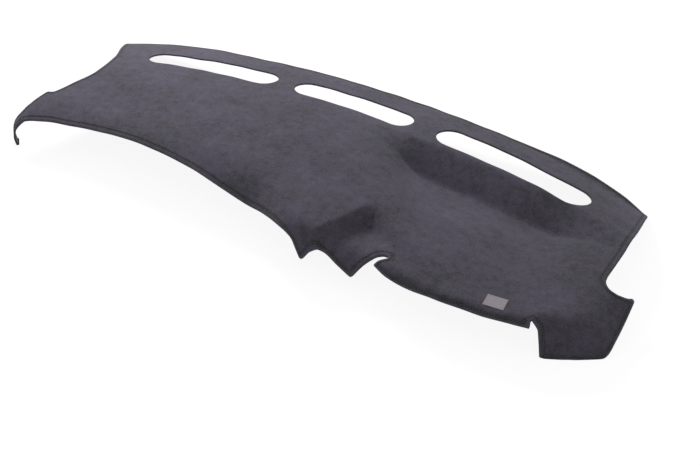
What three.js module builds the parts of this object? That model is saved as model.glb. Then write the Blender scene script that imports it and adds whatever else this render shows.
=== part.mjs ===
import * as THREE from 'three';

// A fitted carpet mat that lies over a car's dashboard. Lengths are millimetres: X runs along
// the dashboard, Y towards the windscreen and Z up. The mat is drawn as a flat cut pattern, and
// matTop() gives the place that each point of the pattern takes on the finished, moulded mat.

const { clamp, lerp, smoothstep } = THREE.MathUtils;

// Cloth, hem and label
const clothThickness = 4;
const hemThickness = 7.5;
const hemWidth = 11;
const hemStep = 2.5;
const labelLength = 38;
const labelDepth = 30;
const labelThickness = 0.9;
const labelGap = 0.3;
const labelTurn = 0.085;
const labelPlace = { u: 437, v: -233 };

// Crown: the height along the mat's middle, front and rear lines, and how far each falls
// towards the two ends
const crownCentre = -107;
const crownHalfLength = 668;
const middleLine = { y: -20, height: 106, fall: 32 };
const frontLine = { y: -230, height: 99, fall: 13 };
const rearLine = { y: 308, height: 57.5, bow: 68, skew: 12 };

// The driver's area lies lower. A steep slope leads down from the vent slots into a valley behind
// the hood, and a wide side slope down from the passenger's area. In front of the side slope is a
// pocket: a short steep step on its left, and a side that rises to the right
const recessDepth = 31;
const recessFront = { depth: 17, start: 40, length: 270 };
const recessRight = { left: 0.1, start: 400, length: 210 };
const ventSlope = { y: 134, slant: 0.085, bow: 16, middle: 285, halfLength: 280, width: 60, endWidth: 54 };
const ventSlopeStart = 120;
const valley = { depth: 23, y: 66, length: 150, left: 40, leftLength: 90, right: 430, rightLength: 110 };
const stepSlope = { front: { x: 56, y: -268 }, rear: { x: 117, y: -142 }, width: 28 };
const sideSlope = { front: { x: 120, y: -118 }, rear: { x: -15, y: 125 }, width: 148 };
const pocketSide = { x: 165, y: -130, heading: -2.1017, length: 35 };
const stepFoot = { depth: 9, x: 150, width: 70 };
const slopeCurve = 1.15;
const hoodSwell = { height: 5, x: 362, halfLength: 190, y: -150, halfDepth: 150 };

// Turned-down edges: the radius and angle of each bend, and the line where it starts
const passengerBend = { radius: 150, angle: 0.62, start: -95, bow: 20, middle: -330, halfLength: 367 };
const passengerEnd = { x: -540, length: 130, shift: 26 };
const apronBend = { radius: 26, angle: 1.4, start: -222, x: -110, length: 150 };
const tongueBend = { radius: 48, angle: 1.15, start: -210, x: 84, length: 40, end: 205, endLength: 10 };
const hoodBend = { radius: 10, angle: 1.15, start: -254, bow: 16, middle: 362, halfLength: 150 };
const flapBend = { radius: 30, angle: 1.46, x: 520, y: -212, heading: -1.2025 };
const tabBend = { radius: 18, angle: 1.83, x: -693.7, y: -205.3, heading: -2.2748 };
const rightSide = { radius: 100, angle: 0.75, x: 566, y: -60, heading: -0.2426 };
const leftSide = { radius: 100, angle: 0.75, x: -696, y: -60, heading: Math.PI + 0.2426 };
const sideBendEnd = { y: -20, length: 50 };
const flapStart = { x: 500, length: 24 };
const tabStart = { x: -665, length: 16 };
const slit = { u: 219, v: -222, mouth: 197, heading: 0.5 };

// Vent slots: the middle line of each, and its width
const slots = [
  { width: 66, line: [[-574, 152], [-495, 166], [-400, 176], [-316, 182]] },
  { width: 70, line: [[-199, 191.5], [-120, 194.5], [-50, 193.5], [22, 185.5]] },
  { width: 77, line: [[159, 179.5], [245, 171.5], [345, 158.5], [435, 141.5]] },
];

// The cut outline, from the rear left corner round by the rear edge, the driver's side, the flap,
// the hood, the slit, the tongue between its two tips, the front edge and the left tab. Each
// stretch ends at the first point of the next one
const cut = {
  rear: [[-778, 253], [-600, 283], [-400, 292], [-105, 305], [200, 293], [400, 280], [500, 258]],
  driverSide: [[570, 227], [580, 124], [582, 40]],
  driverCorner: [[580, -60], [583, -76], [595, -87]],
  flapTop: [[612, -87], [630, -79], [640, -70]],
  flapSide: [[647, -70], [653, -120], [657, -165], [657, -196]],
  flapFoot: [[650, -224], [608, -268], [569, -305]],
  flapInner: [[557, -309], [535, -270], [522, -250]],
  notch: [[511, -244], [507, -252]],
  hoodEdge: [[507, -263], [468, -268], [426, -273], [380, -275], [330, -275], [285, -275], [231, -266]],
  slitEdges: [[199.5, -250], [209, -236], [221, -223], [209, -221.5]],
  tongueSide: [[196, -228], [179, -248], [163, -274]],
  tongueEnd: [[155, -275], [133, -266], [103, -253], [87, -255], [71, -281], [55, -305]],
  front: [[48, -308], [36, -287], [26, -270], [11, -258], [-6, -249], [-46, -230], [-83, -217],
    [-145, -205], [-241, -187], [-340, -173], [-435, -169], [-530, -173], [-590, -181], [-648, -193]],
  tabFront: [[-689, -202]],
  tabFoot: [[-732.7, -250.3]],
  tabRear: [[-754.7, -231.3], [-716, -178], [-710, -163], [-703, -132]],
  tabTop: [[-701, -102]],
  passengerSide: [[-686, -97], [-680, -78], [-664, -14], [-661, 23], [-673, 79], [-700, 137]],
};

// Spacing of the mesh
const edgeSpacing = 17;
const cornerSpacing = 7;
const shortCurve = 90;
const fieldSpacing = 25;
const sharpTurn = 0.3;
const endSteps = 6;

// A share from 0 to 1 that eases in over a length
function ease(distance, length) {
  return smoothstep(distance / length, 0, 1);
}

function share(value) {
  return clamp(value, 0, 1);
}

// Height of the crown, before the recess and the turned-down edges
function crown(x, y) {
  const along = clamp((x - crownCentre) / crownHalfLength, -1, 1);
  const end = Math.abs(along);
  const rear = hemThickness + (rearLine.height - hemThickness) * (1 - end ** 2.6);
  const middle = middleLine.height - middleLine.fall * end ** 2.4;
  const front = frontLine.height - frontLine.fall * end ** 2.4;
  const rearEdge = rearLine.y - rearLine.bow * end ** 2.3 - rearLine.skew * along;
  const toRear = share((y - middleLine.y) / (rearEdge - middleLine.y));
  const toFront = Math.max((middleLine.y - y) / (middleLine.y - frontLine.y), 0);
  return middle - (middle - rear) * toRear ** 1.9 - (middle - front) * toFront ** 2;
}

// The place along x of a straight line through two points, at a given y
function lineAt(from, to, y) {
  return lerp(from.x, to.x, (y - from.y) / (to.y - from.y));
}

// Depth of the lower area in front of the driver
function recess(x, y) {
  const fromMiddle = ((x - ventSlope.middle) / ventSlope.halfLength) ** 2;
  const slopeTop = ventSlope.y - ventSlope.slant * (x - ventSlopeStart) - ventSlope.bow * fromMiddle;
  const slopeWidth = lerp(ventSlope.width, ventSlope.endWidth, share(fromMiddle));
  const downSlope = share((slopeTop - y) / slopeWidth) ** slopeCurve;
  const downSide = ease(x - lineAt(sideSlope.front, sideSlope.rear, y), sideSlope.width);
  const pastSide = (x - pocketSide.x) * Math.cos(pocketSide.heading)
    + (y - pocketSide.y) * Math.sin(pocketSide.heading);
  const inPocket = ease(pastSide, pocketSide.length);
  const downStep = ease(x - lineAt(stepSlope.rear, stepSlope.front, y), stepSlope.width) * inPocket;
  const down = 1 - (1 - downSide) * (1 - downStep);
  const atFoot = (1 - ease(x - stepFoot.x, stepFoot.width)) * inPocket;
  const depth = lerp(recessDepth, recessFront.depth, ease(recessFront.start - y, recessFront.length));
  const toRight = lerp(1, recessRight.left, ease(x - recessRight.start, recessRight.length));
  const alongValley = ease(x - valley.left, valley.leftLength)
    * (1 - ease(x - valley.right, valley.rightLength));
  const inValley = valley.depth * alongValley * (1 - ease(valley.y - y, valley.length));
  return ((depth + stepFoot.depth * atFoot) * toRight + inValley) * downSlope * down;
}

function hood(x, y) {
  const across = share(1 - ((x - hoodSwell.x) / hoodSwell.halfLength) ** 2);
  const along = share(1 - ((y - hoodSwell.y) / hoodSwell.halfDepth) ** 2);
  return hoodSwell.height * (across * along) ** 1.5;
}

// Cloth laid over a rounded edge: how far it still goes outwards, and how far it drops
function overEdge(past, radius, angle) {
  const length = Math.max(past, 0);
  const turned = Math.min(length / radius, angle);
  const hanging = Math.max(length - radius * angle, 0);
  return {
    out: radius * Math.sin(turned) + hanging * Math.cos(angle),
    drop: radius * (1 - Math.cos(turned)) + hanging * Math.sin(angle),
  };
}

// Bends the cloth down past a straight line, whose outward direction is its heading
function bendOver(place, bend, strength) {
  const nx = Math.cos(bend.heading);
  const ny = Math.sin(bend.heading);
  const past = ((place.x - bend.x) * nx + (place.y - bend.y) * ny) * strength;
  const { out, drop } = overEdge(past, bend.radius, bend.angle);
  const back = Math.max(past, 0) - out;
  return { x: place.x - back * nx, y: place.y - back * ny, drop: place.drop + drop };
}

// The bend along the front edge changes from the passenger's side to the driver's hood
function frontBend(u, v) {
  const pastSlit = (u - slit.u) * Math.sin(slit.heading) - (v - slit.v) * Math.cos(slit.heading);
  if (u >= slit.u || (u > slit.mouth && pastSlit > 0)) {
    const bow = hoodBend.bow * ((u - hoodBend.middle) / hoodBend.halfLength) ** 2;
    return { start: hoodBend.start + bow, radius: hoodBend.radius, angle: hoodBend.angle };
  }
  const fromMiddle = (u - passengerBend.middle) / passengerBend.halfLength;
  const curve = passengerBend.bow * Math.cos((fromMiddle * Math.PI) / 2);
  const endShift = passengerEnd.shift * ease(passengerEnd.x - u, passengerEnd.length);
  const bend = { ...passengerBend, start: passengerBend.start - curve - endShift };
  const toApron = ease(u - apronBend.x, apronBend.length);
  const pastTongue = ease(u - tongueBend.end, tongueBend.endLength);
  const toTongue = ease(u - tongueBend.x, tongueBend.length) * (1 - pastTongue);
  for (const name of ['start', 'radius', 'angle']) {
    bend[name] = lerp(bend[name], apronBend[name], toApron);
    bend[name] += (tongueBend[name] - apronBend[name]) * toTongue;
  }
  return bend;
}

// Place of a point of the flat pattern on the upper face of the finished mat
function matTop(u, v) {
  const onFlap = ease(u - flapStart.x, flapStart.length);
  const onTab = 1 - ease(u - tabStart.x, tabStart.length);
  const front = frontBend(u, v);
  const past = (front.start - v) * (1 - onFlap);
  const over = overEdge(past, front.radius, front.angle);
  let place = { x: u, y: v + Math.max(past, 0) - over.out, drop: over.drop };
  place = bendOver(place, flapBend, onFlap);
  place = bendOver(place, rightSide, 1 - ease(place.y - sideBendEnd.y, sideBendEnd.length));
  place = bendOver(place, tabBend, onTab);
  place = bendOver(place, leftSide, 1 - ease(place.y - sideBendEnd.y, sideBendEnd.length));
  const { x, y, drop } = place;
  return new THREE.Vector3(x, y, crown(x, y) + hood(x, y) - recess(x, y) - drop);
}

function matNormal(u, v) {
  const reach = 0.5;
  const alongU = matTop(u + reach, v).sub(matTop(u - reach, v));
  const alongV = matTop(u, v + reach).sub(matTop(u, v - reach));
  return alongU.cross(alongV).normalize();
}

const at = (u, v) => new THREE.Vector2(u, v);

// The cut outline: a smooth line along each stretch, from one corner to the next
function cutOutline() {
  const stretches = Object.values(cut);
  const path = new THREE.Path();
  path.moveTo(...cut.rear[0]);
  stretches.forEach((stretch, i) => {
    const next = stretches[(i + 1) % stretches.length];
    path.splineThru([...stretch.slice(1), next[0]].map(([u, v]) => at(u, v)));
  });
  return path;
}

// A slot is a band of even width along a curved line, with round ends
function slotOutline({ line, width }) {
  const middle = new THREE.SplineCurve(line.map(([u, v]) => at(u, v)));
  const steps = Math.round(middle.getLength() / edgeSpacing);
  const offset = (along, turn) => {
    const side = middle.getTangentAt(along).rotateAround(at(0, 0), turn);
    return side.multiplyScalar(width / 2).add(middle.getPointAt(along));
  };
  const points = [];
  const quarter = Math.PI / 2;
  const turn = Math.PI / endSteps;
  for (let i = 0; i < steps; i += 1) points.push(offset(i / steps, quarter));
  for (let i = 0; i < endSteps; i += 1) points.push(offset(1, quarter - i * turn));
  for (let i = steps; i > 0; i -= 1) points.push(offset(i / steps, -quarter));
  for (let i = 0; i < endSteps; i += 1) points.push(offset(0, -quarter - i * turn));
  return points;
}

// Points along a path: close together on its short curves, wider on its long ones
function samplePath(path) {
  const points = [];
  for (const curve of path.curves) {
    const length = curve.getLength();
    const spacing = length < shortCurve ? cornerSpacing : edgeSpacing;
    const steps = Math.max(Math.round(length / spacing), 1);
    for (let i = 0; i < steps; i += 1) points.push(curve.getPointAt(i / steps));
  }
  return points;
}

function isInside(point, polygon) {
  let inside = false;
  polygon.forEach((a, i) => {
    const b = polygon[(i + 1) % polygon.length];
    const crosses = a.y > point.y !== b.y > point.y;
    if (crosses && point.x < ((b.x - a.x) * (point.y - a.y)) / (b.y - a.y) + a.x) inside = !inside;
  });
  return inside;
}

function distanceTo(point, polygon) {
  let nearest = Infinity;
  polygon.forEach((a, i) => {
    const side = polygon[(i + 1) % polygon.length].clone().sub(a);
    const toPoint = point.clone().sub(a);
    const along = share(toPoint.dot(side) / side.lengthSq());
    nearest = Math.min(nearest, toPoint.addScaledVector(side, -along).length());
  });
  return nearest;
}

// Rows of points that run along the outline at a given distance inside it
function insetRow(polygon, distance) {
  const row = [];
  polygon.forEach((point, i) => {
    const before = polygon[(i + polygon.length - 1) % polygon.length];
    const after = polygon[(i + 1) % polygon.length];
    const along = after.clone().sub(before).normalize();
    const inner = at(along.y, -along.x).multiplyScalar(distance).add(point);
    const isClear = row.every((other) => other.distanceTo(inner) > cornerSpacing / 2);
    const keepsDistance = distanceTo(inner, polygon) > distance - 0.4;
    if (isClear && keepsDistance && isInside(inner, polygon)) row.push(inner);
  });
  return row;
}

function turnsSharply(u, v) {
  const here = matNormal(u, v);
  const reach = fieldSpacing / 2;
  const around = [matNormal(u + reach, v), matNormal(u, v + reach), matNormal(u, v - reach)];
  return around.some((normal) => normal.angleTo(here) > sharpTurn);
}

// Points inside the cloth on a triangular grid, twice as fine where the surface turns sharply
function fieldPoints(outline, holes) {
  const points = [];
  const step = fieldSpacing / 2;
  const rowHeight = step * 0.866;
  const box = new THREE.Box2().setFromPoints(outline);
  const rows = Math.ceil((box.max.y - box.min.y) / rowHeight);
  const columns = Math.ceil((box.max.x - box.min.x) / step);
  for (let row = 0; row <= rows; row += 1) {
    for (let column = 0; column <= columns; column += 1) {
      const uneven = 0.6 * Math.sin(12.9 * row + 78.2 * column);
      const shift = (row % 4) * (step / 2);
      const point = at(box.min.x + column * step + shift + uneven, box.min.y + row * rowHeight);
      const isMain = row % 2 === 0 && column % 2 === 0;
      const room = isMain ? step * 0.8 : step * 0.6;
      const isInField = isInside(point, outline)
        && distanceTo(point, outline) > hemWidth + hemStep + room
        && isClearOf(point, holes, room);
      if (isInField && (isMain || turnsSharply(point.x, point.y))) points.push(point);
    }
  }
  return points;
}

function circleThrough(points, a, b, c) {
  const [p, q, r] = [points[a], points[b], points[c]];
  const [bx, by, cx, cy] = [q.x - p.x, q.y - p.y, r.x - p.x, r.y - p.y];
  const twice = 2 * (bx * cy - by * cx);
  const x = (cy * (bx * bx + by * by) - by * (cx * cx + cy * cy)) / twice;
  const y = (bx * (cx * cx + cy * cy) - cx * (bx * bx + by * by)) / twice;
  return { corners: [a, b, c], centre: at(p.x + x, p.y + y), radiusSq: x * x + y * y };
}

// Delaunay triangulation: each new point replaces the triangles whose circle holds it
function triangulate(points) {
  const far = 20000;
  const all = [...points, at(-far, -far), at(far, -far), at(0, far)];
  let triangles = [circleThrough(all, points.length, points.length + 1, points.length + 2)];
  points.forEach((point, index) => {
    const rim = new Map();
    triangles = triangles.filter((triangle) => {
      if (point.distanceToSquared(triangle.centre) >= triangle.radiusSq) return true;
      const [a, b, c] = triangle.corners;
      for (const [from, to] of [[a, b], [b, c], [c, a]]) {
        if (!rim.delete(`${to} ${from}`)) rim.set(`${from} ${to}`, [from, to]);
      }
      return false;
    });
    for (const [from, to] of rim.values()) triangles.push(circleThrough(all, from, to, index));
  });
  return triangles
    .map((triangle) => triangle.corners)
    .filter((corners) => corners.every((corner) => corner < points.length));
}

// A closed sheet from two faces with the same triangles, joined round every free edge
function closedSheet(topPlaces, bottomPlaces, triangles) {
  const count = topPlaces.length;
  const index = [];
  const free = new Map();
  for (const [a, b, c] of triangles) {
    index.push(a, b, c, count + c, count + b, count + a);
    for (const [from, to] of [[a, b], [b, c], [c, a]]) {
      if (!free.delete(`${to} ${from}`)) free.set(`${from} ${to}`, [from, to]);
    }
  }
  for (const [from, to] of free.values()) {
    index.push(to, from, count + from, to, count + from, count + to);
  }
  const geometry = new THREE.BufferGeometry().setFromPoints([...topPlaces, ...bottomPlaces]);
  geometry.setIndex(index);
  geometry.computeVertexNormals();
  return geometry;
}

// Points of the label on the pattern, in pairs across it from its left end to its right end
function labelPoints() {
  const points = [];
  const pairs = 5;
  for (let i = 0; i < pairs; i += 1) {
    for (const side of [-0.5, 0.5]) {
      const point = at((i / (pairs - 1) - 0.5) * labelLength, side * labelDepth);
      points.push(point.rotateAround(at(0, 0), labelTurn).add(at(labelPlace.u, labelPlace.v)));
    }
  }
  return points;
}

function isClearOf(point, polygons, room) {
  return polygons.every((polygon) => !isInside(point, polygon) && distanceTo(point, polygon) > room);
}

function matGeometry() {
  const outline = samplePath(cutOutline());
  const holes = slots.map(slotOutline);
  const label = labelPoints();
  const labelSides = [label[0], label.at(-2), label.at(-1), label[1]];
  const rows = [...insetRow(outline, hemWidth), ...insetRow(outline, hemWidth + hemStep)];
  const inner = [...rows, ...fieldPoints(outline, holes)].filter(
    (point) => isClearOf(point, holes, 3) && isClearOf(point, [labelSides], 1.5),
  );
  const points = [...outline, ...holes.flat(), ...label, ...inner];
  const triangles = triangulate(points).filter(([a, b, c]) => {
    const middle = points[a].clone().add(points[b]).add(points[c]).divideScalar(3);
    return isInside(middle, outline) && !holes.some((hole) => isInside(middle, hole));
  });
  const onFloor = (place) => place.setZ(Math.max(place.z, 0));
  const topPlaces = points.map(({ x, y }) => onFloor(matTop(x, y)));
  const bottomPlaces = points.map((point) => {
    const normal = matNormal(point.x, point.y);
    const pastHem = share((distanceTo(point, outline) - hemWidth - 0.5) / (hemStep - 1));
    const thickness = lerp(hemThickness, clothThickness, pastHem);
    return onFloor(matTop(point.x, point.y).addScaledVector(normal, -thickness));
  });
  return closedSheet(topPlaces, bottomPlaces, triangles);
}

// The label lies on the mat, a short way in from the hood's edge
function labelGeometry() {
  const points = labelPoints();
  const places = (height) => points.map(({ x, y }) => matTop(x, y).addScaledVector(matNormal(x, y), height));
  const triangles = [];
  for (let a = 0; a + 3 < points.length; a += 2) triangles.push([a, a + 2, a + 1], [a + 1, a + 2, a + 3]);
  return closedSheet(places(labelGap + labelThickness), places(labelGap), triangles);
}

const carpet = new THREE.MeshStandardMaterial({ color: 0x57545c, roughness: 0.95, metalness: 0 });
const woven = new THREE.MeshStandardMaterial({ color: 0x8f8b90, roughness: 0.8, metalness: 0 });

const matPanel = new THREE.Mesh(matGeometry(), carpet);
matPanel.name = 'mat_panel';
const wovenLabel = new THREE.Mesh(labelGeometry(), woven);
wovenLabel.name = 'woven_label';

// The origin is on the floor, under the middle of the mat
const middle = new THREE.Box3().setFromObject(matPanel).getCenter(new THREE.Vector3());
const dashMat = new THREE.Group();
for (const piece of [matPanel, wovenLabel]) {
  piece.geometry.translate(-middle.x, -middle.y, 0);
  dashMat.add(piece);
}

export default dashMat;
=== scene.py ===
"""Looks of the dashboard cover mat: moulded carpet with a stitched hem and a sewn-on tape label.

The mat is drawn as a flat cut pattern in millimetres. MouldedShape gives each point of the pattern its
place on the finished mat, and MatPanel makes the cloth from it, upper face, rounded hem and underside.
"""

import logging
import math
from dataclasses import dataclass, field
from enum import Enum

import bmesh
import bpy
import numpy as np
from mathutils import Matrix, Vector
from mathutils.geometry import delaunay_2d_cdt


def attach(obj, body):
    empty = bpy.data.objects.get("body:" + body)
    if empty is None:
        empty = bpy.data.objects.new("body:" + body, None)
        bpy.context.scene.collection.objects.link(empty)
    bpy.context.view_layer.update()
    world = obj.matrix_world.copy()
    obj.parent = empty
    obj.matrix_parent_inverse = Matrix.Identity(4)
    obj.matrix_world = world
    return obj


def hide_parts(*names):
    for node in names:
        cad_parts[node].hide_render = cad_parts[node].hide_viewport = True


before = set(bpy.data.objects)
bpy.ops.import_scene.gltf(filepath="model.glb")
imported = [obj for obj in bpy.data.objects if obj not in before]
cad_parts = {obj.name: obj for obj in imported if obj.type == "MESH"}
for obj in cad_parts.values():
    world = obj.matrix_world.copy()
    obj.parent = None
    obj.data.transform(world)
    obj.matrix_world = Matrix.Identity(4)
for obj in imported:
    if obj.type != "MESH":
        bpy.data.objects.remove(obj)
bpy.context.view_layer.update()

LOG = logging.getLogger("dash_mat")

# Lengths are millimetres on the pattern and metres in the scene. MM turns one into the other
MM = 0.001
# Where the pattern's own origin lies in the part's frame, in metres
PATTERN_PLACE = (0.068776, -0.018976)
# The photograph's width in pixels
PHOTO_WIDTH = 700
# Mesh attribute that holds the hem's painted light: painted shade along the stitch groove and a painted
# highlight on the rounded fold
HEM_PAINTED_LIGHT = "hem_painted_light"
# Spacing of the outline's points for its area and for its sewing line
AREA_SPACING = 4.0
FINE_SPACING = 1.0
# Height of the threads' middle above the moulded surface, and how far inside the label its seam runs
HEM_THREAD_LIFT = -0.75
LABEL_THREAD_LIFT = 1.22
LABEL_SEAM = 1.6
# Least length that is divided by, points measured in one batch, and the share and slack of its depth
# that a point of an inset row has to keep
TINY = 1e-6
BATCH = 2000
KEPT_DEPTH = 0.985
DEPTH_SLACK = 0.02
# A place on a colour ramp and its colour
Stop = tuple[float, tuple[float, float, float]]


class Held(Enum):
    """How the cloth is held."""

    DRAPED = "draped"


class Slot(Enum):
    """Material slots of the record."""

    CARPET = "carpet"
    LABEL = "label"


def share(value: np.ndarray | float) -> np.ndarray:
    """Returns the value kept between 0 and 1."""
    return np.clip(value, 0.0, 1.0)


def ease(distance: np.ndarray | float, length: float) -> np.ndarray:
    """A share from 0 to 1 that eases in over a length.

    Args:
        distance: How far past the start, in the same unit as length.
        length: The length over which the share grows.

    Returns:
        The share, smooth at both ends.
    """
    t = share(np.asarray(distance, float) / length)
    return t * t * (3.0 - 2.0 * t)


def lerp(low: np.ndarray | float, high: np.ndarray | float, t: np.ndarray | float) -> np.ndarray:
    """Returns the value a share t of the way from low to high."""
    return low + (high - low) * t


def smooth_line(corners: list[tuple[float, float]], count: int = 400) -> np.ndarray:
    """A smooth line through the given corners.

    Args:
        corners: The points that the line passes through.
        count: How many points to return.

    Returns:
        Points along the line, as rows of x and y.
    """
    points = np.array(corners, float)
    last = len(points) - 1
    places = np.linspace(0.0, last, count)
    whole = np.minimum(places.astype(int), last - 1)
    w = (places - whole)[:, None]
    before = points[np.maximum(whole - 1, 0)]
    start = points[whole]
    end = points[whole + 1]
    after = points[np.minimum(whole + 2, last)]
    leave, arrive = (end - before) / 2, (after - start) / 2
    cubic = 2 * start - 2 * end + leave + arrive
    square = -3 * start + 3 * end - 2 * leave - arrive
    return cubic * w**3 + square * w**2 + leave * w + start


def spaced(line: np.ndarray, spacing: float, with_end: bool = False) -> np.ndarray:
    """Points at an even spacing along a line.

    Args:
        line: The line, as rows of points.
        spacing: The wanted distance between points; it is rounded to fit a whole number of steps.
        with_end: Whether the line's last point is kept.

    Returns:
        The evenly spaced points.
    """
    steps = np.linalg.norm(np.diff(line, axis=0), axis=1)
    run = np.concatenate([[0.0], np.cumsum(steps)])
    count = max(int(round(run[-1] / spacing)), 1)
    places = np.linspace(0.0, run[-1], count + 1)
    if not with_end:
        places = places[:-1]
    return np.stack([np.interp(places, run, line[:, k]) for k in range(line.shape[1])], axis=1)


def distance_to(points: np.ndarray, polygon: np.ndarray) -> np.ndarray:
    """Distance from each point to the nearest side of a closed polygon.

    Args:
        points: Rows of x and y.
        polygon: The polygon's corners in order.

    Returns:
        One distance a point.
    """
    a = polygon
    side = np.roll(polygon, -1, axis=0) - a
    length_sq = np.maximum((side**2).sum(1), TINY**2)
    out = np.empty(len(points))
    for start in range(0, len(points), BATCH):
        part = points[start : start + BATCH, None, :] - a[None]
        along = share((part * side[None]).sum(2) / length_sq[None])
        gap = part - along[..., None] * side[None]
        out[start : start + BATCH] = np.sqrt((gap**2).sum(2).min(1))
    return out


def is_inside(points: np.ndarray, polygon: np.ndarray) -> np.ndarray:
    """Whether each point lies inside a closed polygon.

    Args:
        points: Rows of x and y.
        polygon: The polygon's corners in order.

    Returns:
        One truth value a point.
    """
    inside = np.zeros(len(points), bool)
    x, y = points[:, 0], points[:, 1]
    ends = np.roll(polygon, -1, axis=0)
    for (ax, ay), (bx, by) in zip(polygon, ends):
        if ay == by:
            continue
        crosses = ((ay > y) != (by > y)) & (x < (bx - ax) * (y - ay) / (by - ay) + ax)
        inside ^= crosses
    return inside


def inset(polygon: np.ndarray, depth: float, apart: float) -> np.ndarray:
    """A row of points at a given depth inside a clockwise polygon, in order.

    Args:
        polygon: The polygon's corners in order.
        depth: How far inside the row lies.
        apart: The least distance between two points of the row.

    Returns:
        The row, without the points that sharp corners would crowd.
    """
    along = np.roll(polygon, -1, axis=0) - np.roll(polygon, 1, axis=0)
    along /= np.maximum(np.linalg.norm(along, axis=1), TINY)[:, None]
    row = polygon + depth * np.stack([along[:, 1], -along[:, 0]], axis=1)
    row = row[distance_to(row, polygon) > depth * KEPT_DEPTH - DEPTH_SLACK]
    row = row[is_inside(row, polygon)]
    kept = [row[0]]
    for point in row[1:]:
        if np.linalg.norm(point - kept[-1]) > apart:
            kept.append(point)
    return np.array(kept)


@dataclass(frozen=True)
class FlatPattern:
    """The cut of the mat, in millimetres, from the rear left corner clockwise."""

    stretches: tuple[tuple[tuple[float, float], ...], ...] = (
        ((-778, 253), (-600, 283), (-400, 292), (-105, 305), (200, 293), (400, 280), (500, 258)),
        ((570, 227), (580, 124), (582, 40)),
        ((580, -60), (583, -76), (595, -87)),
        ((612, -87), (630, -79), (640, -70)),
        ((647, -70), (653, -120), (657, -165), (657, -196)),
        ((650, -224), (608, -268), (569, -305)),
        ((557, -309), (535, -270), (522, -250)),
        ((511, -244), (507, -252)),
        ((507, -263), (468, -268), (426, -273), (380, -275), (330, -275), (285, -275), (231, -266)),
        ((199.5, -250), (209, -236), (221, -223), (209, -221.5)),
        ((196, -228), (179, -248), (163, -274)),
        ((155, -275), (133, -266), (103, -253), (87, -255), (71, -281), (55, -305)),
        (
            (48, -308), (36, -287), (26, -270), (11, -258), (-6, -249), (-46, -230), (-83, -217), (-145, -205),
            (-241, -187), (-340, -173), (-435, -169), (-530, -173), (-590, -181), (-648, -193),
        ),
        ((-689, -202),),
        ((-732.7, -250.3),),
        ((-754.7, -231.3), (-716, -178), (-710, -163), (-703, -132)),
        ((-701, -102),),
        ((-686, -97), (-680, -78), (-664, -14), (-661, 23), (-673, 79), (-700, 137)),
    )
    slots: tuple[tuple[float, tuple[tuple[float, float], ...]], ...] = (
        (66, ((-574, 152), (-495, 166), (-400, 176), (-316, 182))),
        (70, ((-199, 191.5), (-120, 194.5), (-50, 193.5), (22, 185.5))),
        (77, ((159, 179.5), (245, 171.5), (345, 158.5), (435, 141.5))),
    )
    least_cap_steps: int = 6

    def outline(self, spacing: float) -> np.ndarray:
        """The cut outline.

        Args:
            spacing: The distance between its points.

        Returns:
            The outline's points, clockwise.
        """
        ends = [*self.stretches[1:], self.stretches[0]]
        lines = [smooth_line([*stretch, end[0]]) for stretch, end in zip(self.stretches, ends)]
        return np.concatenate([spaced(line, spacing) for line in lines])

    def slot_outline(self, index: int, spacing: float, grow: float = 0.0) -> np.ndarray:
        """A vent slot: a band of even width with round ends.

        Args:
            index: Which slot, from the left.
            spacing: The distance between its points.
            grow: How far outside the slot's own edge the line runs.

        Returns:
            The slot's points, in order.
        """
        width, line = self.slots[index]
        middle = spaced(smooth_line(list(line)), spacing, with_end=True)
        along = np.gradient(middle, axis=0)
        along /= np.linalg.norm(along, axis=1)[:, None]
        left = np.stack([-along[:, 1], along[:, 0]], axis=1)
        half = width / 2 + grow
        steps = max(int(round(math.pi * half / spacing)), self.least_cap_steps)
        turns = np.linspace(math.pi / 2, -math.pi / 2, steps + 1)[1:-1]

        def end_cap(centre: np.ndarray, forward: np.ndarray, side: np.ndarray) -> np.ndarray:
            """Returns the half circle round an end of the slot."""
            return centre + half * (np.cos(turns)[:, None] * forward + np.sin(turns)[:, None] * side)

        far = end_cap(middle[-1], along[-1], left[-1])
        near = end_cap(middle[0], -along[0], -left[0])
        return np.concatenate([middle + half * left, far, (middle - half * left)[::-1], near])

    def cut_area(self) -> float:
        """The flat area of the cloth, without the slots.

        Returns:
            The area in square millimetres.
        """

        def enclosed(p: np.ndarray) -> float:
            """Returns the area inside a closed polygon."""
            q = np.roll(p, -1, axis=0)
            return abs(float((p[:, 0] * q[:, 1] - q[:, 0] * p[:, 1]).sum())) / 2

        holes = sum(enclosed(self.slot_outline(i, AREA_SPACING)) for i in range(len(self.slots)))
        return enclosed(self.outline(AREA_SPACING)) - holes


@dataclass(frozen=True)
class Bend:
    """Cloth turned down over a rounded edge, past a line with an outward heading."""

    radius: float
    angle: float
    x: float = 0.0
    y: float = 0.0
    heading: float = 0.0


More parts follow.
